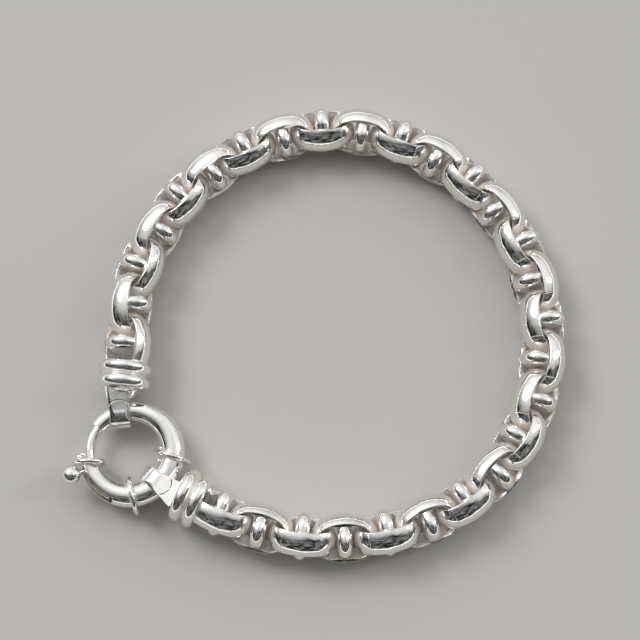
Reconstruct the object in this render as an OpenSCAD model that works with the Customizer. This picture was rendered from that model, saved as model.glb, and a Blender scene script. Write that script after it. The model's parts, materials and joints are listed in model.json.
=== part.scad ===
// Chain bracelet: 28 interlocked oval links with round studs, two end pieces and a bolt ring clasp.
// Millimetres. The bracelet lies flat as a closed loop, +Z up, origin at the middle of its base.
// The clasp is on the west side, and the links run clockwise from it.

/* [Chain] */
// Distance from one link's stud to the next along the chain
pitch = 6; // [5.9:0.05:6.2]
// Height of the chain's centre line above the surface
chain_height = 3.45; // [3.4:0.05:3.8]
// Heading of the first step out of the left end piece, degrees from east
first_heading = 88.6; // [86:0.2:91]

/* [Link band] */
// Radius of the opening's ends
end_radius = 2.2; // [2:0.05:2.3]
// Distance between the centres of the opening's end arcs and side arcs
arc_spacing = 4.5; // [4:0.25:5]
// Width of the band, measured across the link's plane
band_width = 3.5; // [3.2:0.1:3.8]
// Thickness of the band at the crown of its dome
crown_thickness = 1.05; // [0.9:0.05:1.2]
// Radius of the dome across the band
dome_radius = 2.9; // [2.6:0.1:3.4]
// Depth of the countersink at the opening's ends
sink_depth = 0.6; // [0.3:0.05:0.9]
// Growth of the opening's end radius over the countersink
sink_flare = 0.3; // [0.1:0.05:0.35]

/* [Stud] */
// Thickness of the stud along the chain
stud_thickness = 2; // [1.6:0.1:2.2]
// Radius of the stud's narrow ends
stud_end_radius = 2.5; // [2.3:0.05:2.8]
// Distance between the centres of the stud's end arcs and side arcs
stud_spacing = 1.7; // [1.5:0.1:2]

/* [End caps] */
// Height of the caps' centre line
cap_height = 4; // [3.9:0.05:4.2]
// Outside radius of the two half round rings
cap_ring_radius = 3.95; // [3.6:0.05:4]
// Radius at the groove between the rings
cap_groove_radius = 3.2; // [2.8:0.05:3.5]
// Radius of the neck behind the rings
cap_neck_radius = 3.15; // [2.9:0.05:3.5]
// Thickness of the strap round the ring's tube
strap_thickness = 0.55; // [0.4:0.05:0.8]
// Half width of the strap where it leaves the cap
strap_root = 1.9; // [1.6:0.05:2.2]

/* [Bolt ring] */
// Height of the ring's plane
ring_height = 3; // [2.8:0.05:3.2]
// Radius of the ring's opening
ring_inner = 4.55; // [4.4:0.05:4.8]
// Radius of the circle on which the bolt slides
bolt_path = 5.62; // [5.5:0.02:5.8]
// Diameter of the bolt
bolt_diameter = 1.46; // [1.3:0.02:1.6]
// Gap between the bolt and its bore
bolt_gap = 0.12; // [0.08:0.01:0.2]
// Diameter of the ball on the bolt's lever
ball_diameter = 2.7; // [2.4:0.1:3]

/* [Hidden] */
$fn = 48;
ring_x = -27.31;
ring_y = -20.2;
first_x = -27.77;
first_y = -4.72;
// middle of the loop's outline, brought to the origin
middle = [-0.45, -2.12];

// The route: how many joints turn, and by how many degrees clockwise each
route_joints = 0;
route_turn = 1;
ROUTE = [[6, 11.1], [4, 12.2], [8, 10.8], [4, 12.7], [4, 9.05]];

// How far the whole chain is rolled about its own line: link number, degrees
ROLL = [[0, 14], [4, 9], [9, 5], [16, 1], [18, 0], [24, 13], [27, 14]];

// Extra height of the links beside the caps: link number, mm
LIFT = [[0, cap_height - chain_height], [1, 0.44], [2, 0], [24, 0], [25, 0.25], [26, 0.24], [27, cap_height - chain_height]];

// Turn of single links away from the middle of their two joints' headings: link number, degrees
TRIM = [[0, 0], [1, 2.7], [2, -0.8], [3, 0], [18, 0], [19, -1.1], [20, 0], [21, -1], [22, 0.3], [23, 0], [26, 0], [27, -1.2]];

// Diameter of the ring's tube round the ring, clockwise from the mouth: degrees, mm
TUBE = [[142, 2.42], [125, 2.5], [100, 2.65], [80, 2.85], [45, 3.25], [0, 3.5], [-45, 3.5], [-90, 3.45], [-115, 3.2], [-135, 2.95], [-150, 2.8], [-166, 2.55]];
tube_mouth = 142;
tube_foot = -165;
tube_sections = 44;
tube_sides = 28;

// Collars on the tube: degrees round the ring, diameter, thickness, lean from the radius
collar_at = 0;
collar_diameter = 1;
collar_thickness = 2;
collar_lean = 3;
COLLARS = [[-164, 5.1, 0.75, -15], [-8, 5.5, 0.75, -8], [-83, 5.8, 0.78, 7]];

// Drops of solder left on the ring: degrees round the ring, radius from its centre, height over its plane, diameter
DROPS = [[-172.5, 7.0, 0.9, 0.9], [-174.5, 6.45, 1.15, 0.7], [6, 4.62, 0.5, 0.55], [-17, 4.6, 0.6, 0.6]];

// Bolt: degrees round the ring of its tip, its lever and its tail when closed
bolt_tip = 136.5;
bolt_lever = 204;
bolt_tail = 246;
bolt_travel = 46;
lever_rise = 26;
ball_radius_on_ring = 8.67;

half_band = band_width / 2;
stud_round = stud_thickness / 2;
// Directions of the lines on which the arcs of an oval meet: cosine, sine
BAND_MEETING = [0.352, 0.936];
STUD_MEETING = [0.6, 0.8];

function is_outer(i) = i % 2 == 0;
function turn_at(k, row = 0) = k <= ROUTE[row][route_joints] ? ROUTE[row][route_turn] : turn_at(k - ROUTE[row][route_joints], row + 1);
function step_heading(i) = i <= 0 ? first_heading : step_heading(i - 1) - turn_at(i);
function link_at(i) = i <= 0 ? [first_x, first_y] : link_at(i - 1) + pitch * [cos(step_heading(i - 1)), sin(step_heading(i - 1))];
function link_heading(i) = lookup(i, TRIM) + (i <= 0 ? first_heading : i >= 27 ? step_heading(26) : (step_heading(i - 1) + step_heading(i)) / 2);
function link_tilt(i) = is_outer(i) ? -(45 - lookup(i, ROLL)) : 45 + lookup(i, ROLL);
function tube_diameter(a) = lookup(a, TUBE);
function tube_centre(a) = ring_inner + tube_diameter(a) / 2;
// The point where the line from p touches the circle of radius r round c, on the chosen side
function touching(c, r, p, side) =
    let(d = p - c, to_p = atan2(d.y, d.x), open = acos(r / norm(d)))
    c + r * [cos(to_p + side * open), sin(to_p + side * open)];

// ---- Link: u along the chain is X, across the link's plane is Y, out of its plane is Z ----
module domed_section(inner) {
    intersection() {
        translate([inner, -half_band]) square([crown_thickness + 1, band_width]);
        translate([inner + crown_thickness - dome_radius, 0]) circle(dome_radius);
    }
}

module rounded_section(radius) {
    translate([0, -stud_round]) square([radius - stud_round, stud_thickness]);
    intersection() {
        translate([radius - stud_round, 0]) circle(stud_round);
        translate([radius - stud_round, -stud_round]) square([stud_round, stud_thickness]);
    }
}

module oval_section(domed, radius) {
    if (domed) domed_section(radius);
    else rounded_section(radius);
}

module oval(meeting, spacing, end_r, domed) {
    // four arcs make one smooth oval: the ends on centres along X, the sides on centres along Y
    reach = 4 * spacing + 4;
    end_at = spacing * meeting[0];
    side_at = spacing * meeting[1];
    for (side = [0, 180]) rotate([0, 0, side]) {
        intersection() {
            translate([end_at, 0, 0]) rotate_extrude() oval_section(domed, end_r);
            translate([0, 0, -6]) linear_extrude(12) polygon([[end_at, 0],
                [end_at + reach * meeting[0], -reach * meeting[1]], [end_at + reach, -reach * meeting[1]],
                [end_at + reach, reach * meeting[1]], [end_at + reach * meeting[0], reach * meeting[1]]]);
        }
        intersection() {
            translate([0, -side_at, 0]) rotate_extrude() oval_section(domed, end_r + spacing);
            translate([0, 0, -6]) linear_extrude(12) polygon([[0, -side_at],
                [reach * meeting[0], reach * meeting[1] - side_at], [-reach * meeting[0], reach * meeting[1] - side_at]]);
        }
    }
}

module countersink() {
    translate([0, 0, half_band - sink_depth])
        cylinder(h = sink_depth + 0.2, r1 = end_radius, r2 = end_radius + sink_flare * (sink_depth + 0.2) / sink_depth);
}

module band() {
    difference() {
        oval(BAND_MEETING, arc_spacing, end_radius, true);
        for (side = [0, 180], face = [0, 180])
            rotate([face, 0, side]) translate([arc_spacing * BAND_MEETING[0], 0, 0]) countersink();
    }
}

module stud() {
    // its long side stands out of the link's plane
    rotate([0, 90, 0]) oval(STUD_MEETING, stud_spacing, stud_end_radius, false);
}

module link_body() {
    band();
    stud();
}

module place_link(i) {
    translate([link_at(i).x, link_at(i).y, chain_height + lookup(i, LIFT)])
        rotate([0, 0, link_heading(i)]) rotate([link_tilt(i), 0, 0]) children();
}

module link(i) {
    translate([-middle.x, -middle.y, 0]) place_link(i) link_body();
}

// ---- End pieces ----
// profile of the two half round rings and the neck that runs in to the strap, turned about the cap's own line;
// neck is how far its hollow curve runs, in degrees of its quarter circle
module cap_turning(neck) {
    rotate([0, 90, 0]) rotate_extrude() {
        translate([0, 2.75]) square([cap_groove_radius, 3.85]);
        translate([0, 2.68]) square([cap_ring_radius - 0.98, 1.96]);
        translate([cap_ring_radius - 0.98, 3.66]) circle(0.98);
        translate([0, 4.72]) square([cap_ring_radius - 0.98, 1.96]);
        translate([cap_ring_radius - 0.98, 5.7]) circle(0.98);
        bend = cap_neck_radius - 1.55;
        polygon(concat([[0, 6.3], [cap_neck_radius, 6.3]],
            [for (t = [0 : 5]) [cap_neck_radius - bend * sin(neck * t / 5), 6.65 + bend * (1 - cos(neck * t / 5))]],
            [[0, 6.65 + bend * (1 - cos(neck))]]));
    }
}

// strap that narrows from the cap and loops round the tube: X towards the loop's end, origin in the eye
module strap(back, drop, eye, tip, seam) {
    outside = eye + strap_thickness;
    high = touching([0, 0], outside - 0.04, [-back, drop + 2.1], -1);
    low = touching([0, 0], outside - 0.04, [-back, drop - 2.1], 1);
    waist = -back + 3.2;
    waist_half = 1.45;
    edge = [for (t = [0 : 8]) [-back + 0.5 + 2.7 * t / 8, waist_half + (strap_root - waist_half) * (1 - sin(90 * t / 8))]];
    difference() {
        intersection() {
            // takes the corners off the strap's sides
            rotate([0, 90 + atan2(drop, back), 0]) translate([0, 0, -back - 2]) cylinder(h = back + 8, r = outside + 0.1);
            rotate([90, 0, 0]) translate([0, 0, -4]) linear_extrude(8) {
                circle(outside, $fn = 96);
                polygon([[-back - 0.8, drop - 2.1], [-back, drop - 2.1], low, [0, 0], high, [-back, drop + 2.1], [-back - 0.8, drop + 2.1]]);
            }
            translate([0, 0, -5]) linear_extrude(10) polygon(concat(
                [[-back - 0.8, strap_root]], edge, [[outside + 0.2, tip], [outside + 0.2, -tip]],
                [for (t = [8 : -1 : 0]) [edge[t].x, -edge[t].y]], [[-back - 0.8, -strap_root]]));
        }
        rotate([90, 0, 0]) translate([0, 0, -5]) linear_extrude(10) {
            circle(eye, $fn = 96);
            polygon([[0, 0.88 * eye], [-eye * 1.55, drop * 0.3], [0, -0.88 * eye]]);
        }
        // seam where the strap's end is soldered down on its own root
        translate([-back + seam, 0, drop + 1.1]) rotate([0, 0, 125]) rotate_extrude(angle = 110, $fn = 96)
            translate([1.55, 0]) square([0.14, 3]);
    }
}

module end_piece(i, cap_heading, neck, eye_at, eye_heading, eye, tip, seam) {
    place_link(i) link_body();
    translate([link_at(i).x, link_at(i).y, cap_height]) rotate([0, 0, cap_heading]) cap_turning(neck);
    cap_end = link_at(i) + 6.2 * [cos(cap_heading), sin(cap_heading)];
    translate([eye_at.x, eye_at.y, ring_height]) rotate([0, 0, eye_heading])
        strap(norm(eye_at - cap_end), cap_height - ring_height, eye, tip, seam);
}

function on_ring(radius, a) = [ring_x + radius * cos(a), ring_y + radius * sin(a)];

module end_left() {
    color("silver") translate([-middle.x, -middle.y, 0])
        end_piece(0, -95, 75, on_ring(5.85, 103), -84, 1.78, 1.3, 3.8);
}

module end_right() {
    color("silver") translate([-middle.x, -middle.y, 0])
        end_piece(27, 154, 35, on_ring(6.26, -46), 143, 2.2, 1, 3.1);
}

// ---- Bolt ring ----
module tapered_tube() {
    step = (tube_foot - tube_mouth) / (tube_sections - 1);
    stations = [for (k = [0 : tube_sections - 1]) tube_mouth + k * step];
    last = tube_sections - 1;
    points = [for (a = stations, j = [0 : tube_sides - 1])
        let(b = 360 * j / tube_sides, out = tube_centre(a) + tube_diameter(a) / 2 * cos(b))
        [out * cos(a), out * sin(a), tube_diameter(a) / 2 * sin(b)]];
    walls = [for (i = [0 : last - 1], j = [0 : tube_sides - 1])
        let(next = (j + 1) % tube_sides, a = i * tube_sides, b = (i + 1) * tube_sides)
        each [[a + j, b + j, b + next], [a + j, b + next, a + next]]];
    mouth = [for (j = [0 : tube_sides - 1]) j];
    foot = [for (j = [tube_sides - 1 : -1 : 0]) last * tube_sides + j];
    polyhedron(points = points, faces = concat([mouth], walls, [foot]), convexity = 6);
}

module collar(row) {
    edge = row[collar_thickness] / 2;
    rim = row[collar_diameter] / 2 - edge;
    rotate([0, 0, row[collar_at]]) translate([tube_centre(row[collar_at]), 0, 0])
        rotate([0, 0, row[collar_lean]]) rotate([90, 0, 0]) rotate_extrude() {
            translate([0, -edge]) square([rim, 2 * edge]);
            translate([rim, 0]) circle(edge);
        }
}

module bolt_sweep(start, sweep) {
    rotate([0, 0, start]) rotate_extrude(angle = sweep, $fn = 96) children();
}

module bolt_ring() {
    bore = bolt_diameter / 2 + bolt_gap;
    color("silver") translate([ring_x - middle.x, ring_y - middle.y, ring_height]) difference() {
        union() {
            tapered_tube();
            for (row = COLLARS) collar(row);
            for (drop = DROPS)
                rotate([0, 0, drop[0]]) translate([drop[1], 0, drop[2]]) sphere(d = drop[3], $fn = 24);
        }
        bolt_sweep(186, bolt_tail + bolt_travel + 4 - 186) translate([bolt_path, 0]) circle(bore);
        bolt_sweep(127, 19) translate([bolt_path, 0]) circle(bore);
        // slot for the lever, on the tube's upper outside
        bolt_sweep(200, 8 + bolt_travel) translate([bolt_path, 0]) rotate(lever_rise)
            translate([0, -0.55]) square([3.4, 1.1]);
    }
}

module bolt() {
    rise = (ball_radius_on_ring - bolt_path) * tan(lever_rise);
    color("silver") translate([ring_x - middle.x, ring_y - middle.y, ring_height]) {
        bolt_sweep(bolt_tip, bolt_tail - bolt_tip) translate([bolt_path, 0]) circle(bolt_diameter / 2);
        rotate([0, 0, bolt_tip]) translate([bolt_path, 0, 0]) sphere(d = bolt_diameter - 0.02);
        rotate([0, 0, bolt_lever]) translate([bolt_path, 0, 0]) rotate([0, 90 - lever_rise, 0])
            cylinder(h = norm([ball_radius_on_ring - bolt_path, rise]), r = 0.4);
        rotate([0, 0, bolt_lever]) translate([ball_radius_on_ring, 0, rise]) sphere(d = ball_diameter);
    }
}

module link_01() color("silver") link(1);
module link_02() color("silver") link(2);
module link_03() color("silver") link(3);
module link_04() color("silver") link(4);
module link_05() color("silver") link(5);
module link_06() color("silver") link(6);
module link_07() color("silver") link(7);
module link_08() color("silver") link(8);
module link_09() color("silver") link(9);
module link_10() color("silver") link(10);
module link_11() color("silver") link(11);
module link_12() color("silver") link(12);
module link_13() color("silver") link(13);
module link_14() color("silver") link(14);
module link_15() color("silver") link(15);
module link_16() color("silver") link(16);
module link_17() color("silver") link(17);
module link_18() color("silver") link(18);
module link_19() color("silver") link(19);
module link_20() color("silver") link(20);
module link_21() color("silver") link(21);
module link_22() color("silver") link(22);
module link_23() color("silver") link(23);
module link_24() color("silver") link(24);
module link_25() color("silver") link(25);
module link_26() color("silver") link(26);

link_01();
link_02();
link_03();
link_04();
link_05();
link_06();
link_07();
link_08();
link_09();
link_10();
link_11();
link_12();
link_13();
link_14();
link_15();
link_16();
link_17();
link_18();
link_19();
link_20();
link_21();
link_22();
link_23();
link_24();
link_25();
link_26();
end_left();
end_right();
bolt_ring();
bolt();
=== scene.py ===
"""Chain bracelet in polished silver, lying as a closed loop, with its bolt ring clasp shut.

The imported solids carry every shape. This script gives them their silver: bright polished
domes, duller and warmer metal down in the recesses, solder seams and small polishing marks.
It then sets out the floor, the soft lights and the camera. Lengths are metres unless a name
ends in _mm.
"""

from __future__ import annotations

import json
import logging
import math
from dataclasses import dataclass
from enum import Enum

import bpy
from mathutils import Matrix, Vector

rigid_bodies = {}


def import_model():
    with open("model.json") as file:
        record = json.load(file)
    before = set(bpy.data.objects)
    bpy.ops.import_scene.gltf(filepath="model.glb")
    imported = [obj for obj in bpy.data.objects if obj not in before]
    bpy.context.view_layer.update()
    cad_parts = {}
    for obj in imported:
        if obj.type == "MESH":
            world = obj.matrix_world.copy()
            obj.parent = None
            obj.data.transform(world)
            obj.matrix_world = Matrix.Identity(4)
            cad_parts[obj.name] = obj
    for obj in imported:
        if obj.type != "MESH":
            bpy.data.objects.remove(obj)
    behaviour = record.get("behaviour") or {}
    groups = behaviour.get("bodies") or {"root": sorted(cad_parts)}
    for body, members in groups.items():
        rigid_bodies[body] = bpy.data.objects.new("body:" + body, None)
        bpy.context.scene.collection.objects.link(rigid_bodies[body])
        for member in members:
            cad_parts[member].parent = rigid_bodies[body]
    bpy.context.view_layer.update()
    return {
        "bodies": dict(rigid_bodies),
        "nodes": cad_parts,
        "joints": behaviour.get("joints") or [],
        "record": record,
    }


logging.basicConfig(level=logging.INFO, format="%(levelname)s %(message)s")
log = logging.getLogger("bracelet")

MM = 0.001
LINK_PLACE = "place_on_link"
CURVE_TOP_MM = 4.0  # diameter at the top of the curve that holds the tube's taper
EDGE_RAYS = 6  # per point, to find the edges that the wheel rounded
OPEN_SKY_RAYS = 8  # per point, to find the metal that stands close round it


# ---------------------------------------------------------------- colour and node helpers
def linear(hex_colour: str) -> tuple[float, float, float, float]:
    """Turn an sRGB hex colour into linear RGBA.

    Args:
        hex_colour: Six hex digits after a #.

    Returns:
        Linear red, green and blue, and full opacity.
    """
    channels = (int(hex_colour[i : i + 2], 16) / 255 for i in (1, 3, 5))
    red, green, blue = (
        c / 12.92 if c <= 0.04045 else ((c + 0.055) / 1.055) ** 2.4 for c in channels
    )
    return (red, green, blue, 1.0)


def add_node(
    tree: bpy.types.NodeTree, kind: str, sockets: dict | None = None, **settings: object
) -> bpy.types.Node:
    """Add a node, set its properties, and set or link its inputs.

    Args:
        tree: Node tree that takes the node.
        kind: Blender's name of the node type.
        sockets: Input name or number to a value, or to an output socket to link from.
        **settings: Properties of the node itself.

    Returns:
        The new node.
    """
    node = tree.nodes.new(kind)
    for name, value in settings.items():
        setattr(node, name, value)
    for name, value in (sockets or {}).items():
        if isinstance(value, bpy.types.NodeSocket):
            tree.links.new(value, node.inputs[name])
        else:
            node.inputs[name].default_value = value
    return node


# ---------------------------------------------------------------- finishes
class Making(Enum):
    """How a piece of silver was made, which sets the marks that polishing left on it."""

    ROLLED_BAND = "rolled_and_polished"
    CAST_CAP = "cast_and_polished"
    DRAWN_TUBE = "drawn_tube_polished"
    DRAWN_WIRE = "drawn_wire_polished"


@dataclass(frozen=True)
class SilverFinish:
    """Sterling silver, buffed to a mirror where a wheel reaches and duller where it doesn't.

    Args:
        making: How the piece was made.
        metal: Colour of the clean metal.
        film: Colour of the thin tarnish and old polish in the recesses.
        film_cover: How much of the metal the film hides where it is thickest.
        patch_mm: Size of the patches in which the film grows.
        patch_range: Patch noise at which the film is at its thinnest and at its thickest.
        thinnest: Film between the patches, as a share of the film in them.
        roughness: Roughness of the buffed faces.
        uneven_shine: Least and most roughness along the buffing marks, as shares of roughness.
        recess_roughness: Roughness down in the recesses.
        recess_mm: How near other metal has to be for the wheel to miss a spot.
        recess_range: Share of open sky at which a recess begins and at which it is deepest.
        wave_mm: Size of the shallow waves and dents of hand polishing and wear.
        wave_depth_mm: Depth of those waves.
        grain_mm: Size of the buffing marks, drawn coarser than the real ones so that they show.
        grain_depth_mm: Depth of those marks.
        grain_range: Grain noise at which the roughness is least and at which it is most.
        edge_mm: Radius to which the wheel rounds an edge.
        seam_at_mm: Distance along a link from its middle to its solder seam, or none.
        seam_mm: Width of that seam.
        seam_depth: Depth of the seam, as a share of the depth of the waves.
        seam_fades_in_mm: From a link's middle line outwards, where the seam begins and is full.
        seam_range: Patch noise at which polishing has taken the seam off and has left it.
        seam_film: Film in the seam where it is left.
    """

    making: Making
    metal: str = "#F6F4F0"
    film: str = "#F5EFE9"
    film_cover: float = 0.56
    patch_mm: float = 1.1
    patch_range: tuple[float, float] = (0.3, 0.6)
    thinnest: float = 0.45
    roughness: float = 0.08
    uneven_shine: tuple[float, float] = (0.7, 1.5)
    recess_roughness: float = 0.34
    recess_mm: float = 1.7
    recess_range: tuple[float, float] = (0.80, 0.45)
    wave_mm: float = 2.1
    wave_depth_mm: float = 0.085
    grain_mm: float = 0.16
    grain_depth_mm: float = 0.0012
    grain_range: tuple[float, float] = (0.3, 0.7)
    edge_mm: float = 0.11
    seam_at_mm: float | None = None
    seam_mm: float = 0.12
    seam_depth: float = -0.7
    seam_fades_in_mm: tuple[float, float] = (1.6, 1.8)
    seam_range: tuple[float, float] = (0.4, 0.55)
    seam_film: float = 0.9

    def material(self) -> bpy.types.Material:
        """Build the finish.

        Returns:
            The material.
        """
        made = bpy.data.materials.new(f"sterling_silver_{self.making.value}")
        made.use_nodes = True
        tree = made.node_tree
        tree.nodes.clear()
        place = add_node(tree, "ShaderNodeTexCoord").outputs["Object"]
        in_mm = add_node(
            tree, "ShaderNodeVectorMath", {0: place, "Scale": 1 / MM}, operation="SCALE"
        ).outputs[0]
        noise = {}
        for name, size_mm, detail, finer in (
            ("wave", self.wave_mm, 1.5, 0.45),  # soft dents with few small ones in them
            ("grain", self.grain_mm, 3.0, 0.6),  # marks of many sizes
            ("patch", self.patch_mm, 3.0, 0.6),  # ragged edges
        ):
            sockets = {"Vector": in_mm, "Scale": 1 / size_mm, "Detail": detail, "Roughness": finer}
            noise[name] = add_node(tree, "ShaderNodeTexNoise", sockets).outputs["Fac"]
        recess, film = self.recess(tree, noise["patch"])
        wave = noise["wave"]
        if self.seam_at_mm is not None:
            seam = self.seam(tree, noise["patch"])
            film = add_node(
                tree, "ShaderNodeMath", {0: film, 1: seam}, operation="MAXIMUM"
            ).outputs[0]
            sockets = {0: seam, 1: self.seam_depth, 2: wave}
            wave = add_node(tree, "ShaderNodeMath", sockets, operation="MULTIPLY_ADD").outputs[0]
        colour = add_node(
            tree,
            "ShaderNodeMix",
            {"Factor": film, 6: linear(self.metal), 7: linear(self.film)},
            data_type="RGBA",
        ).outputs[2]
        metallic = add_node(
            tree, "ShaderNodeMath", {0: film, 1: -self.film_cover, 2: 1.0}, operation="MULTIPLY_ADD"
        ).outputs[0]
        sockets = {
            "Base Color": colour,
            "Metallic": metallic,
            "Roughness": self.shine(tree, noise["grain"], recess),
            "Normal": self.relief(tree, wave, noise["grain"]),
        }
        shader = add_node(tree, "ShaderNodeBsdfPrincipled", sockets)
        add_node(tree, "ShaderNodeOutputMaterial", {"Surface": shader.outputs["BSDF"]})
        return made

    def shine(
        self, tree: bpy.types.NodeTree, grain: bpy.types.NodeSocket, recess: bpy.types.NodeSocket
    ) -> bpy.types.NodeSocket:
        """Vary the shine with the buffing marks, and take it off down in the recesses.

        Args:
            tree: The material's nodes.
            grain: Height of the buffing marks.
            recess: How deep in a recess a point lies, from 0 to 1.

        Returns:
            The roughness.
        """
        buffed = add_node(
            tree,
            "ShaderNodeMapRange",
            {
                "Value": grain,
                "From Min": self.grain_range[0],
                "From Max": self.grain_range[1],
                "To Min": self.roughness * self.uneven_shine[0],
                "To Max": self.roughness * self.uneven_shine[1],
            },
        ).outputs["Result"]
        return add_node(
            tree, "ShaderNodeMix", {0: recess, 2: buffed, 3: self.recess_roughness}, data_type="FLOAT"
        ).outputs[0]

    def relief(
        self, tree: bpy.types.NodeTree, wave: bpy.types.NodeSocket, grain: bpy.types.NodeSocket
    ) -> bpy.types.NodeSocket:
        """Round the edges as a wheel does, then add the dents and the buffing marks.

        Args:
            tree: The material's nodes.
            wave: Height of the polishing waves.
            grain: Height of the buffing marks.

        Returns:
            The normal.
        """
        normal = add_node(
            tree, "ShaderNodeBevel", {"Radius": self.edge_mm * MM}, samples=EDGE_RAYS
        ).outputs[0]
        for height, depth_mm in ((wave, self.wave_depth_mm), (grain, self.grain_depth_mm)):
            sockets = {"Height": height, "Distance": depth_mm * MM, "Strength": 1.0, "Normal": normal}
            normal = add_node(tree, "ShaderNodeBump", sockets).outputs["Normal"]
        return normal

    def recess(
        self, tree: bpy.types.NodeTree, patch: bpy.types.NodeSocket
    ) -> tuple[bpy.types.NodeSocket, bpy.types.NodeSocket]:
        """Find the places between pieces that a wheel doesn't reach, and the film there.

        Args:
            tree: The material's nodes.
            patch: Noise that breaks the film into patches.

        Returns:
            How deep in a recess a point lies, from 0 on open metal to 1, and how much film it has.
        """
        open_sky = add_node(
            tree,
            "ShaderNodeAmbientOcclusion",
            {"Distance": self.recess_mm * MM},
            samples=OPEN_SKY_RAYS,
        ).outputs["AO"]
        depth, cover = (
            add_node(
                tree,
                "ShaderNodeMapRange",
                {"Value": value, "From Min": low, "From Max": high, "To Min": least, "To Max": 1.0},
            ).outputs["Result"]
            for value, (low, high), least in (
                (open_sky, self.recess_range, 0.0),
                (patch, self.patch_range, self.thinnest),
            )
        )
        film = add_node(
            tree, "ShaderNodeMath", {0: depth, 1: cover}, operation="MULTIPLY"
        ).outputs[0]
        return depth, film

    def seam(self, tree: bpy.types.NodeTree, patch: bpy.types.NodeSocket) -> bpy.types.NodeSocket:
        """Draw the thin line across a link's upper dome where its band was soldered closed.

        Args:
            tree: The material's nodes.
            patch: Noise that says where polishing has taken the line off.

        Returns:
            How much film the seam has, and 0 beside it.
        """
        on_link = add_node(tree, "ShaderNodeAttribute", attribute_name=LINK_PLACE)
        parts = add_node(tree, "ShaderNodeSeparateXYZ", {0: on_link.outputs["Vector"]})
        off = add_node(
            tree, "ShaderNodeMath", {0: parts.outputs["X"], 1: self.seam_at_mm}, operation="SUBTRACT"
        ).outputs[0]
        away = add_node(tree, "ShaderNodeMath", {0: off}, operation="ABSOLUTE").outputs[0]
        line = add_node(
            tree,
            "ShaderNodeMapRange",
            {"Value": away, "From Min": self.seam_mm / 2, "From Max": self.seam_mm / 4},
        ).outputs["Result"]
        # Only on the upper dome, and only where polishing has left it
        for value, (low, high), most in (
            (parts.outputs["Y"], self.seam_fades_in_mm, 1.0),
            (patch, self.seam_range, self.seam_film),
        ):
            sockets = {"Value": value, "From Min": low, "From Max": high, "To Max": most}
            limit = add_node(tree, "ShaderNodeMapRange", sockets).outputs["Result"]
            line = add_node(
                tree, "ShaderNodeMath", {0: line, 1: limit}, operation="MULTIPLY"
            ).outputs[0]
        return line


# ---------------------------------------------------------------- places along the chain
def lookup(table: tuple[tuple[float, float], ...], at: float) -> float:
    """Read a table of pairs, with straight lines between its rows.

    Args:
        table: Rows of place and value, in order of place.
        at: Place to read, not before the first row's.

    Returns:
        The value there.
    """
    for (before, low), (after, high) in zip(table, table[1:]):
        if at <= after:
            return low + (high - low) * (at - before) / (after - before)
    return table[-1][1]


@dataclass(frozen=True)
class Route:
    """The chain's line as the solids follow it: equal steps that turn a little at every joint.

    Args:
        pitch: Step from one link's middle to the next.
        start: Middle of link 0, which is the one in the left cap.
        heading: Heading of the first step in degrees from +X.
        turns: How many joints turn, and by how many degrees clockwise each.
        inside: Degrees about the chain's line that lean a link's upper side to the loop's
            inside, as the even links lie.
        outside: The same for a lean to the loop's outside, as the odd links lie.
        roll: Degrees that the chain is rolled about its own line, by link number.
        height: Height of the chain's line.
    """

    pitch: float = 6.0 * MM
    start: tuple[float, float] = (-27.32 * MM, -2.6 * MM)
    heading: float = 88.6
    turns: tuple[tuple[int, float], ...] = ((6, 11.1), (4, 12.2), (8, 10.8), (4, 12.7), (4, 9.05))
    inside: float = 135
    outside: float = 45
    roll: tuple[tuple[float, float], ...] = (
        (0, 14), (4, 9), (9, 5), (16, 1), (18, 0), (24, 13), (27, 14),
    )
    height: float = 3.45 * MM

    def frames(self) -> list[Matrix]:
        """Work out each link's own frame.

        Returns:
            Per link, the matrix from the bracelet's frame to the link's: X along the chain, Y
            across the link in its plane and to its upper side, Z out of its plane.
        """
        headings = [self.heading]
        for joints, turn in self.turns:
            for _ in range(joints):
                headings.append(headings[-1] - turn)
        middle = Vector((*self.start, self.height))
        frames = []
        for number in range(len(headings) + 1):
            before = headings[max(number - 1, 0)]
            after = headings[min(number, len(headings) - 1)]
            facing = math.radians((before + after) / 2)
            lean = self.inside if number % 2 == 0 else self.outside
            tilt = math.radians(lean + lookup(self.roll, number))
            turned = Matrix.Rotation(facing, 4, "Z") @ Matrix.Rotation(tilt, 4, "X")
            frames.append((Matrix.Translation(middle) @ turned).inverted())
            step = math.radians(after)
            middle += self.pitch * Vector((math.cos(step), math.sin(step), 0))
        return frames


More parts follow.
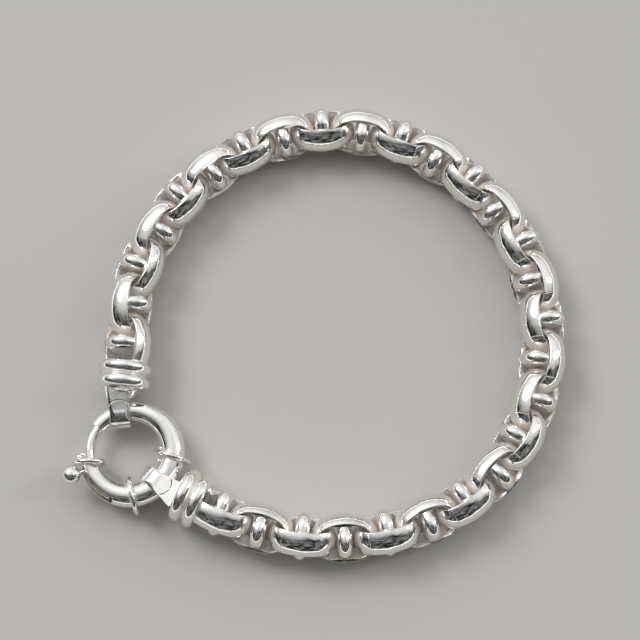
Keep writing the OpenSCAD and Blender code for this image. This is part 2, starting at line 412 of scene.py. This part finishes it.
# ---------------------------------------------------------------- surfaces
@dataclass(frozen=True)
class PlaceOnLink:
    """Stores where each point of a link lies in the link's own frame, in millimetres."""

    def group(self) -> bpy.types.NodeTree:
        """Build the modifier's nodes, with the link's frame as their input.

        Returns:
            The node group.
        """
        tree = bpy.data.node_groups.new(LINK_PLACE, "GeometryNodeTree")
        tree.interface.new_socket("Geometry", in_out="INPUT", socket_type="NodeSocketGeometry")
        for axis in ("X", "Y", "Z", "Offset"):
            tree.interface.new_socket(axis, in_out="INPUT", socket_type="NodeSocketVector")
        tree.interface.new_socket("Geometry", in_out="OUTPUT", socket_type="NodeSocketGeometry")
        into = add_node(tree, "NodeGroupInput")
        point = add_node(tree, "GeometryNodeInputPosition").outputs[0]
        parts = {}
        for axis in ("X", "Y", "Z"):
            sockets = {0: point, 1: into.outputs[axis]}
            along = add_node(tree, "ShaderNodeVectorMath", sockets, operation="DOT_PRODUCT")
            parts[axis] = along.outputs["Value"]
        turned = add_node(tree, "ShaderNodeCombineXYZ", parts).outputs[0]
        moved = add_node(
            tree, "ShaderNodeVectorMath", {0: turned, 1: into.outputs["Offset"]}, operation="ADD"
        ).outputs[0]
        in_mm = add_node(
            tree, "ShaderNodeVectorMath", {0: moved, "Scale": 1 / MM}, operation="SCALE"
        ).outputs[0]
        stored = add_node(
            tree,
            "GeometryNodeStoreNamedAttribute",
            {"Geometry": into.outputs[0], "Name": LINK_PLACE},
            data_type="FLOAT_VECTOR",
            domain="POINT",
        )
        tree.links.new(in_mm, stored.inputs["Value"])
        add_node(tree, "NodeGroupOutput", {0: stored.outputs[0]})
        return tree

    def apply_to(self, pieces: list[bpy.types.Object], frames: list[Matrix]) -> None:
        """Add the modifier to each link.

        Args:
            pieces: The links.
            frames: Per link, the matrix from the bracelet's frame to the link's.
        """
        group = self.group()
        inputs = (item for item in group.interface.items_tree if item.in_out == "INPUT")
        sockets = {item.name: item.identifier for item in inputs}
        for piece, frame in zip(pieces, frames):
            modifier = piece.modifiers.new("place on link", "NODES")
            modifier.node_group = group
            for row, axis in enumerate("XYZ"):
                modifier[sockets[axis]] = tuple(frame[row][:3])
            modifier[sockets["Offset"]] = tuple(frame.translation)


@dataclass(frozen=True)
class RoundTube:
    """Shades the ring's tube as the round, tapering tube that it is, over its small facets.

    Args:
        centre: Middle of the ring.
        opening: Radius of the ring's opening.
        diameters_mm: Diameter of the tube by angle round the ring, in degrees and millimetres.
        crease_deg: Faces that meet at more than this stay a crisp edge.
        reach_mm: How far from the round tube a face may lie and still belong to it.
        agree: Cosine of the angle within which such a face has to point the tube's way.
        weld_mm: Corners nearer to each other than this are one.
    """

    centre: tuple[float, float, float] = (-26.86 * MM, -18.08 * MM, 3.0 * MM)
    opening: float = 4.55 * MM
    diameters_mm: tuple[tuple[float, float], ...] = (
        (142, 2.42), (125, 2.5), (100, 2.65), (80, 2.85), (45, 3.25), (0, 3.5),
        (-45, 3.5), (-90, 3.45), (-115, 3.2), (-135, 2.95), (-150, 2.8), (-166, 2.55),
    )
    crease_deg: float = 32.0
    reach_mm: float = 0.05
    agree: float = 0.93
    weld_mm: float = 0.002

    def group(self) -> bpy.types.NodeTree:
        """Build the modifier's nodes.

        Returns:
            The node group.
        """
        tree = bpy.data.node_groups.new("round_tube", "GeometryNodeTree")
        tree.interface.new_socket("Geometry", in_out="INPUT", socket_type="NodeSocketGeometry")
        tree.interface.new_socket("Geometry", in_out="OUTPUT", socket_type="NodeSocketGeometry")
        into = add_node(tree, "NodeGroupInput").outputs[0]
        bare = add_node(
            tree, "GeometryNodeRemoveAttribute", {"Geometry": into, "Name": "custom_normal"}
        ).outputs[0]
        joined = add_node(
            tree, "GeometryNodeMergeByDistance", {"Geometry": bare, "Distance": self.weld_mm * MM}
        ).outputs[0]
        soft = add_node(
            tree,
            "GeometryNodeSetShadeSmooth",
            {"Geometry": joined, "Shade Smooth": True},
            domain="FACE",
        ).outputs[0]
        fold = add_node(tree, "GeometryNodeInputMeshEdgeAngle").outputs["Unsigned Angle"]
        sharp = add_node(
            tree,
            "FunctionNodeCompare",
            {0: fold, 1: math.radians(self.crease_deg)},
            operation="GREATER_THAN",
        ).outputs[0]
        crisp = add_node(
            tree,
            "GeometryNodeSetShadeSmooth",
            {"Geometry": soft, "Selection": sharp, "Shade Smooth": False},
            domain="EDGE",
        ).outputs[0]
        normal = add_node(
            tree, "GeometryNodeSetMeshNormal", {"Mesh": crisp}, mode="FREE", domain="CORNER"
        )
        tree.links.new(self.tube_normal(tree), normal.inputs["Custom Normal"])
        add_node(tree, "NodeGroupOutput", {0: normal.outputs[0]})
        return tree

    def tube_radius(
        self, tree: bpy.types.NodeTree, off: bpy.types.NodeSocket
    ) -> bpy.types.NodeSocket:
        """Read the tube's taper at the angle of a point round the ring.

        Args:
            tree: The modifier's nodes.
            off: The point's place from the middle of the ring.

        Returns:
            The tube's radius there.
        """
        parts = add_node(tree, "ShaderNodeSeparateXYZ", {0: off})
        angle = add_node(
            tree, "ShaderNodeMath", {0: parts.outputs["Y"], 1: parts.outputs["X"]}, operation="ARCTAN2"
        ).outputs[0]
        turn = add_node(
            tree, "ShaderNodeMath", {0: angle, 1: 1 / math.tau, 2: 0.5}, operation="MULTIPLY_ADD"
        ).outputs[0]
        profile = add_node(tree, "ShaderNodeFloatCurve", {"Value": turn})
        curve = profile.mapping.curves[0]
        rows = sorted(self.diameters_mm)
        for degrees, diameter in rows[1:-1]:
            curve.points.new(degrees / 360 + 0.5, diameter / CURVE_TOP_MM)
        for end in (0, -1):
            degrees, diameter = rows[end]
            curve.points[end].location = (degrees / 360 + 0.5, diameter / CURVE_TOP_MM)
        profile.mapping.update()
        sockets = {0: profile.outputs[0], 1: CURVE_TOP_MM / 2 * MM}
        return add_node(tree, "ShaderNodeMath", sockets, operation="MULTIPLY").outputs[0]

    def tube_normal(self, tree: bpy.types.NodeTree) -> bpy.types.NodeSocket:
        """Work out which way the ring's surface points.

        Args:
            tree: The modifier's nodes.

        Returns:
            The round tube's normal on its own faces, and the mesh's normal elsewhere.
        """
        point = add_node(tree, "GeometryNodeInputPosition").outputs[0]
        off = add_node(
            tree, "ShaderNodeVectorMath", {0: point, 1: self.centre}, operation="SUBTRACT"
        ).outputs[0]
        radius = self.tube_radius(tree, off)
        # From the ring's middle out to the middle of the tube, and from there to the point
        path = add_node(
            tree, "ShaderNodeMath", {0: radius, 1: self.opening}, operation="ADD"
        ).outputs[0]
        flat = add_node(
            tree, "ShaderNodeVectorMath", {0: off, 1: (1, 1, 0)}, operation="MULTIPLY"
        ).outputs[0]
        outward = add_node(tree, "ShaderNodeVectorMath", {0: flat}, operation="NORMALIZE").outputs[0]
        core = add_node(
            tree, "ShaderNodeVectorMath", {0: outward, "Scale": path}, operation="SCALE"
        ).outputs[0]
        arm = add_node(
            tree, "ShaderNodeVectorMath", {0: off, 1: core}, operation="SUBTRACT"
        ).outputs[0]
        round_normal = add_node(
            tree, "ShaderNodeVectorMath", {0: arm}, operation="NORMALIZE"
        ).outputs[0]
        length = add_node(tree, "ShaderNodeVectorMath", {0: arm}, operation="LENGTH").outputs["Value"]
        near = add_node(
            tree,
            "ShaderNodeMath",
            {0: length, 1: radius, 2: self.reach_mm * MM},
            operation="COMPARE",
        ).outputs[0]
        mesh_normal = add_node(tree, "GeometryNodeInputNormal")
        along = add_node(
            tree,
            "ShaderNodeVectorMath",
            {0: mesh_normal.outputs["True Normal"], 1: round_normal},
            operation="DOT_PRODUCT",
        ).outputs["Value"]
        facing = add_node(
            tree, "ShaderNodeMath", {0: along, 1: self.agree}, operation="GREATER_THAN"
        ).outputs[0]
        both = add_node(
            tree, "ShaderNodeMath", {0: near, 1: facing}, operation="MULTIPLY"
        ).outputs[0]
        chosen = add_node(tree, "GeometryNodeSwitch", {0: both}, input_type="VECTOR")
        tree.links.new(mesh_normal.outputs["Normal"], chosen.inputs["False"])
        tree.links.new(round_normal, chosen.inputs["True"])
        return chosen.outputs[0]

    def apply_to(self, piece: bpy.types.Object) -> None:
        """Add the modifier to the ring.

        Args:
            piece: The ring.
        """
        piece.modifiers.new("round tube", "NODES").node_group = self.group()


# ---------------------------------------------------------------- the bracelet's sub-assemblies
@dataclass
class Chain:
    """The oval links with their studs, from beside the left cap round to beside the right one.

    Args:
        first: Number of the first link.
        last: Number of the last link.
        finish: Silver of the bands and studs.
        route: The line that the links follow.
    """

    first: int = 1
    last: int = 26
    # Rolled band, bent and buffed to a mirror: its shallow dents break up what it reflects, so
    # the domes go from white to nearly black in crisp, uneven bands
    finish: SilverFinish = SilverFinish(Making.ROLLED_BAND, seam_at_mm=2.75)
    route: Route = Route()

    def names(self) -> list[str]:
        """Node names of the links."""
        return [f"link_{number:02d}" for number in range(self.first, self.last + 1)]

    def dress(self, nodes: dict[str, bpy.types.Object]) -> list[bpy.types.Object]:
        """Give the links their silver.

        Args:
            nodes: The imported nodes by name.

        Returns:
            The links that were dressed.
        """
        silver = self.finish.material()
        links = [dress_node(nodes[name], silver) for name in self.names()]
        PlaceOnLink().apply_to(links, self.route.frames()[self.first : self.last + 1])
        return links


@dataclass
class EndCaps:
    """The two caps, each one solid with its end link, its rings and the strap round the clasp.

    Args:
        names: Node names of the caps.
        finish: Silver of the caps.
    """

    names: tuple[str, str] = ("end_left", "end_right")
    # Cast, filed and buffed by hand: a softer shine and wider dents than the bands have
    finish: SilverFinish = SilverFinish(
        Making.CAST_CAP, roughness=0.13, wave_mm=2.3, wave_depth_mm=0.12, recess_mm=1.5
    )

    def dress(self, nodes: dict[str, bpy.types.Object]) -> list[bpy.types.Object]:
        """Give the caps their silver.

        Args:
            nodes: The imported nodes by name.

        Returns:
            The caps that were dressed.
        """
        silver = self.finish.material()
        return [dress_node(nodes[name], silver) for name in self.names]


@dataclass
class BoltRing:
    """The clasp: a tapered ring of tube with three collars, and the bolt that slides in it.

    Args:
        tube: Silver of the ring and its collars.
        wire: Silver of the bolt, its stem and its ball.
    """

    # Drawn tube, bent and buffed: the smoothest face, with long clean reflections round it
    tube: SilverFinish = SilverFinish(
        Making.DRAWN_TUBE, wave_mm=2.6, wave_depth_mm=0.08, recess_mm=0.9
    )
    # Drawn wire, rubbed by the tube that it slides in: bright, and a touch less than a mirror
    wire: SilverFinish = SilverFinish(
        Making.DRAWN_WIRE, roughness=0.09, wave_depth_mm=0.06, recess_mm=0.8
    )

    def dress(self, nodes: dict[str, bpy.types.Object]) -> list[bpy.types.Object]:
        """Give the ring and the bolt their silver.

        Args:
            nodes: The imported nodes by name.

        Returns:
            The pieces that were dressed.
        """
        ring = dress_node(nodes["bolt_ring"], self.tube.material())
        RoundTube().apply_to(ring)
        return [ring, dress_node(nodes["bolt"], self.wire.material())]


def dress_node(node: bpy.types.Object, material: bpy.types.Material) -> bpy.types.Object:
    """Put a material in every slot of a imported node.

    Args:
        node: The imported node.
        material: Its finish.

    Returns:
        The same node.
    """
    if not node.material_slots:
        node.data.materials.append(material)
    for slot in node.material_slots:
        slot.material = material
    log.info("%s in %s", node.name, material.name)
    return node


# ---------------------------------------------------------------- floor, lights and camera
@dataclass(frozen=True)
class Softbox:
    """A lamp with a rectangular diffuser that faces the bracelet.

    Args:
        name: What it does.
        place: Where it hangs.
        width: Width of the diffuser.
        length: Length of the diffuser.
        watts: Its power.
    """

    name: str
    place: tuple[float, float, float]
    width: float
    length: float
    watts: float

    def hang(self) -> None:
        """Add the lamp to the scene."""
        lamp = bpy.data.lights.new(self.name, "AREA")
        lamp.shape = "RECTANGLE"
        lamp.size, lamp.size_y, lamp.energy = self.width, self.length, self.watts
        holder = bpy.data.objects.new(self.name, lamp)
        holder.location = self.place
        holder.rotation_mode = "QUATERNION"
        holder.rotation_quaternion = (-Vector(self.place)).to_track_quat("-Z", "Y")
        bpy.context.scene.collection.objects.link(holder)


@dataclass(frozen=True)
class Glow:
    """A soft patch of light in the room round the bracelet.

    Args:
        towards: Direction of its middle.
        edge: Cosine of the angle from the middle at which it has faded out.
        full: Cosine of the angle up to which it is at full strength.
        strength: Its brightness.
    """

    towards: tuple[float, float, float]
    edge: float
    full: float
    strength: float


@dataclass
class Studio:
    """A plain pale floor in a soft-lit room: bright behind the bracelet, dim on the camera's side.

    Args:
        floor_side: Side of the square floor.
        floor_colour: Colour of the floor.
        floor_roughness: Roughness of the floor.
        floor_shine: Specular level of the floor.
        room_colour: Colour of the room's light.
        dim: Least and most brightness of the unlit corners, which give the silver its dark bands.
        dim_range: Noise at which the corners are at their darkest and at their lightest.
        glows: The bright parts of the room.
        falloff: How fast a glow fades from its middle outwards.
        unevenness: How far a glow's edge wanders.
        skyline: Brightness of the pale wall low round the floor.
        skyline_from: Sine of the height, seen from the bracelet, at which that wall begins.
        skyline_full: Sine of the height at which it is at full brightness.
        softboxes: The lamps.
    """

    floor_side: float = 6.0
    floor_colour: str = "#C6C4C0"
    floor_roughness: float = 0.9
    floor_shine: float = 0.1
    room_colour: str = "#F7F8FA"
    dim: tuple[float, float] = (0.015, 0.26)
    dim_range: tuple[float, float] = (0.42, 0.66)
    glows: tuple[Glow, ...] = (
        Glow((-0.22, 0.62, 0.75), 0.40, 0.60, 1.22),
        Glow((0.58, 0.45, 0.68), 0.66, 0.84, 1.0),
    )
    falloff: float = 2.2
    unevenness: float = 0.5
    skyline: float = 1.7
    skyline_from: float = 0.11
    skyline_full: float = 0.05
    softboxes: tuple[Softbox, ...] = (
        Softbox("key", (-1.30, 1.00, 1.55), 0.90, 0.90, 21.0),
        Softbox("side", (1.60, 0.45, 0.95), 0.25, 1.00, 5.5),
    )

    def build(self) -> None:
        """Lay the floor, light the room and hang the lamps."""
        self.floor()
        self.room()
        for softbox in self.softboxes:
            softbox.hang()

    def floor(self) -> None:
        """Lay the floor."""
        half = self.floor_side / 2
        corners = [(-half, -half, 0), (half, -half, 0), (half, half, 0), (-half, half, 0)]
        mesh = bpy.data.meshes.new("floor")
        mesh.from_pydata(corners, [], [(0, 1, 2, 3)])
        floor = bpy.data.objects.new("floor", mesh)
        bpy.context.scene.collection.objects.link(floor)
        # Uncoated background paper: evenly matt, so that it shows soft shadows and no shine
        paper = bpy.data.materials.new("uncoated_paper_matt")
        paper.use_nodes = True
        shader = paper.node_tree.nodes["Principled BSDF"]
        shader.inputs["Base Color"].default_value = linear(self.floor_colour)
        shader.inputs["Roughness"].default_value = self.floor_roughness
        shader.inputs["Specular IOR Level"].default_value = self.floor_shine
        mesh.materials.append(paper)

    def room(self) -> None:
        """Light the room: dim corners, the glows and a pale skyline where the floor ends."""
        world = bpy.data.worlds.new("room")
        world.use_nodes = True
        tree = world.node_tree
        tree.nodes.clear()
        way = add_node(tree, "ShaderNodeTexCoord").outputs["Generated"]
        height = add_node(tree, "ShaderNodeSeparateXYZ", {0: way}).outputs["Z"]
        edges, corners = (
            add_node(
                tree,
                "ShaderNodeTexNoise",
                {"Vector": way, "Scale": scale, "Detail": layers, "Roughness": 0.5},
            ).outputs["Fac"]
            for scale, layers in (
                (2.4, 2.0),  # slow bends in the edges of the glows
                (4.6, 2.5),  # smaller light and dark places in the corners
            )
        )
        dim = add_node(
            tree,
            "ShaderNodeMapRange",
            {
                "Value": corners,
                "From Min": self.dim_range[0],
                "From Max": self.dim_range[1],
                "To Min": self.dim[0],
                "To Max": self.dim[1],
            },
        ).outputs["Result"]
        total = add_node(
            tree,
            "ShaderNodeMapRange",
            {
                "Value": height,
                "From Min": self.skyline_from,
                "From Max": self.skyline_full,
                "To Min": dim,
                "To Max": self.skyline,
            },
            interpolation_type="SMOOTHSTEP",
        ).outputs["Result"]
        for glow in self.glows:
            light = self.glow_light(tree, glow, way, edges)
            total = add_node(
                tree, "ShaderNodeMath", {0: total, 1: light}, operation="MAXIMUM"
            ).outputs[0]
        sockets = {"Color": linear(self.room_colour), "Strength": total}
        background = add_node(tree, "ShaderNodeBackground", sockets)
        add_node(tree, "ShaderNodeOutputWorld", {"Surface": background.outputs[0]})
        bpy.context.scene.world = world

    def glow_light(
        self,
        tree: bpy.types.NodeTree,
        glow: Glow,
        way: bpy.types.NodeSocket,
        edges: bpy.types.NodeSocket,
    ) -> bpy.types.NodeSocket:
        """Work out how bright a glow is in each direction.

        Args:
            tree: The room's nodes.
            glow: The glow.
            way: Direction from the bracelet.
            edges: Noise that bends the glow's edge.

        Returns:
            Its brightness.
        """
        facing = add_node(
            tree,
            "ShaderNodeVectorMath",
            {0: way, 1: Vector(glow.towards).normalized()},
            operation="DOT_PRODUCT",
        ).outputs["Value"]
        wandering = add_node(
            tree,
            "ShaderNodeMath",
            {0: edges, 1: self.unevenness, 2: facing},
            operation="MULTIPLY_ADD",
        ).outputs[0]
        patch = add_node(
            tree,
            "ShaderNodeMapRange",
            {
                "Value": wandering,
                "From Min": glow.edge + self.unevenness / 2,
                "From Max": glow.full + self.unevenness / 2,
                "To Min": 0.0,
                "To Max": glow.strength,
            },
            interpolation_type="SMOOTHSTEP",
        ).outputs["Result"]
        fading = add_node(
            tree, "ShaderNodeMath", {0: facing, 1: self.falloff}, operation="POWER", use_clamp=True
        ).outputs[0]
        return add_node(
            tree, "ShaderNodeMath", {0: patch, 1: fading}, operation="MULTIPLY"
        ).outputs[0]


@dataclass
class PhotoCamera:
    """The camera of the photograph: nearly overhead, and a little to the front, at -Y.

    Args:
        looks_at: Point of the floor at the middle of the frame.
        distance: From that point to the camera.
        lean_deg: How far the view leans from straight down.
        lens_mm: Focal length.
        sensor_mm: Width of the sensor.
        clip: Nearest and farthest that it sees.
    """

    looks_at: tuple[float, float, float] = (0.00045, 0.00212, 0.0)
    distance: float = 0.25
    lean_deg: float = 14.0
    lens_mm: float = 95.29
    sensor_mm: float = 36.0
    clip: tuple[float, float] = (0.01, 10.0)

    def place(self) -> None:
        """Make the camera and look through it."""
        camera = bpy.data.objects.new("camera", bpy.data.cameras.new("camera"))
        camera.data.lens, camera.data.sensor_width = self.lens_mm, self.sensor_mm
        camera.data.clip_start, camera.data.clip_end = self.clip
        lean = math.radians(self.lean_deg)
        back = Vector((0, -math.sin(lean), math.cos(lean)))
        camera.location = Vector(self.looks_at) + back * self.distance
        camera.rotation_euler = (lean, 0, 0)
        bpy.context.scene.collection.objects.link(camera)
        bpy.context.scene.camera = camera


def main() -> None:
    """Build the picture: load the solids, dress them, then set floor, lights and camera."""
    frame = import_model()
    for assembly in (Chain(), EndCaps(), BoltRing()):
        dressed = assembly.dress(frame["nodes"])
        log.info("%s: %d pieces", type(assembly).__name__, len(dressed))
    Studio().build()
    PhotoCamera().place()
    bpy.context.scene.view_settings.view_transform = "Standard"


if __name__ == "__main__":
    main()
